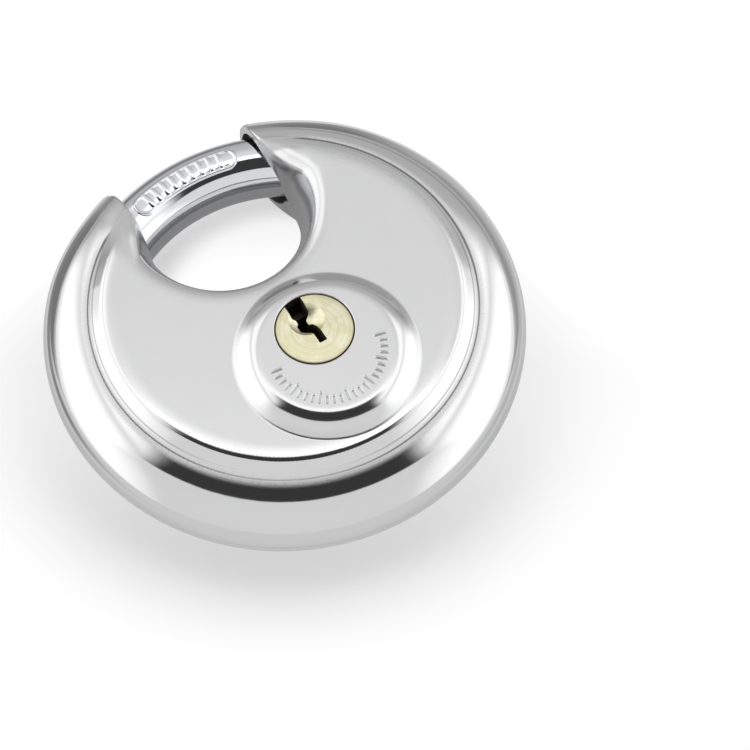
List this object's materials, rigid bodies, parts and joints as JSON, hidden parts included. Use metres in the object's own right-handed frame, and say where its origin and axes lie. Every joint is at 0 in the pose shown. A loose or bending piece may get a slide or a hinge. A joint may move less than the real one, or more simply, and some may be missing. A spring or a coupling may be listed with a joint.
{
  "type": "disc padlock",
  "caption": "Round flat padlock: two pressed steel shells with a notch in the rim that a sliding ring shackle closes, worked by a keyed cylinder in a raised boss.",
  "frame": {"origin": "on the axis of the round body, in the plane of the flat back face", "axes": "+Z out of the keyhole face, +Y towards the shackle opening in the rim, +X to the right seen from the keyhole face"},
  "size_m": [0.07, 0.0673, 0.0202],
  "materials": {
    "stainless_shell": "polished stainless steel, satin on the flat faces",
    "hardened_shackle": "bright chrome plating on hardened steel",
    "brass_plug": "turned pale brass",
    "brass_housing": "machined brass",
    "zinc_casting": "die-cast zinc alloy",
    "hardened_guard": "dark hardened steel",
    "plain_steel": "plain machined steel",
    "pin_brass": "nickel brass",
    "spring_wire": "bright spring wire"
  },
  "bodies": {
    "lock_body": {"front_shell": "stainless_shell", "back_shell": "stainless_shell", "front_core": "zinc_casting", "back_core": "zinc_casting", "core_rivet_1": "plain_steel", "core_rivet_2": "plain_steel", "core_rivet_3": "plain_steel", "core_rivet_4": "plain_steel", "cylinder_housing": "brass_housing", "housing_dowel_1": "plain_steel", "housing_dowel_2": "plain_steel", "chamber_cover": "brass_housing", "drill_guard": "hardened_guard", "driver_pin_1": "plain_steel", "driver_pin_2": "plain_steel", "driver_pin_3": "plain_steel", "driver_pin_4": "plain_steel", "driver_pin_5": "plain_steel", "pin_spring_1": "spring_wire", "pin_spring_2": "spring_wire", "pin_spring_3": "spring_wire", "pin_spring_4": "spring_wire", "pin_spring_5": "spring_wire"},
    "shackle_ring": {"shackle": "hardened_shackle"},
    "plug_group": {"plug": "brass_plug", "key_pin_1": "pin_brass", "key_pin_2": "pin_brass", "key_pin_3": "pin_brass", "key_pin_4": "pin_brass", "key_pin_5": "pin_brass", "drive_lever": "plain_steel", "drive_peg": "plain_steel", "lever_screw": "plain_steel"}
  },
  "joints": [
    {"name": "shackle_turn", "type": "hinge", "parent": "lock_body", "child": "shackle_ring", "pos_m": [0, 0, 0.00908], "axis": [0, 0, -1], "range_deg": [0, 63.2]},
    {"name": "plug_turn", "type": "hinge", "parent": "lock_body", "child": "plug_group", "pos_m": [0.0006, -0.00773, 0.00908], "axis": [0, 0, -1], "range_deg": [0, 90]}
  ],
  "couplings": [
    {"joint": "plug_turn", "follows": "shackle_turn", "ratio": 1.424}
  ]
}
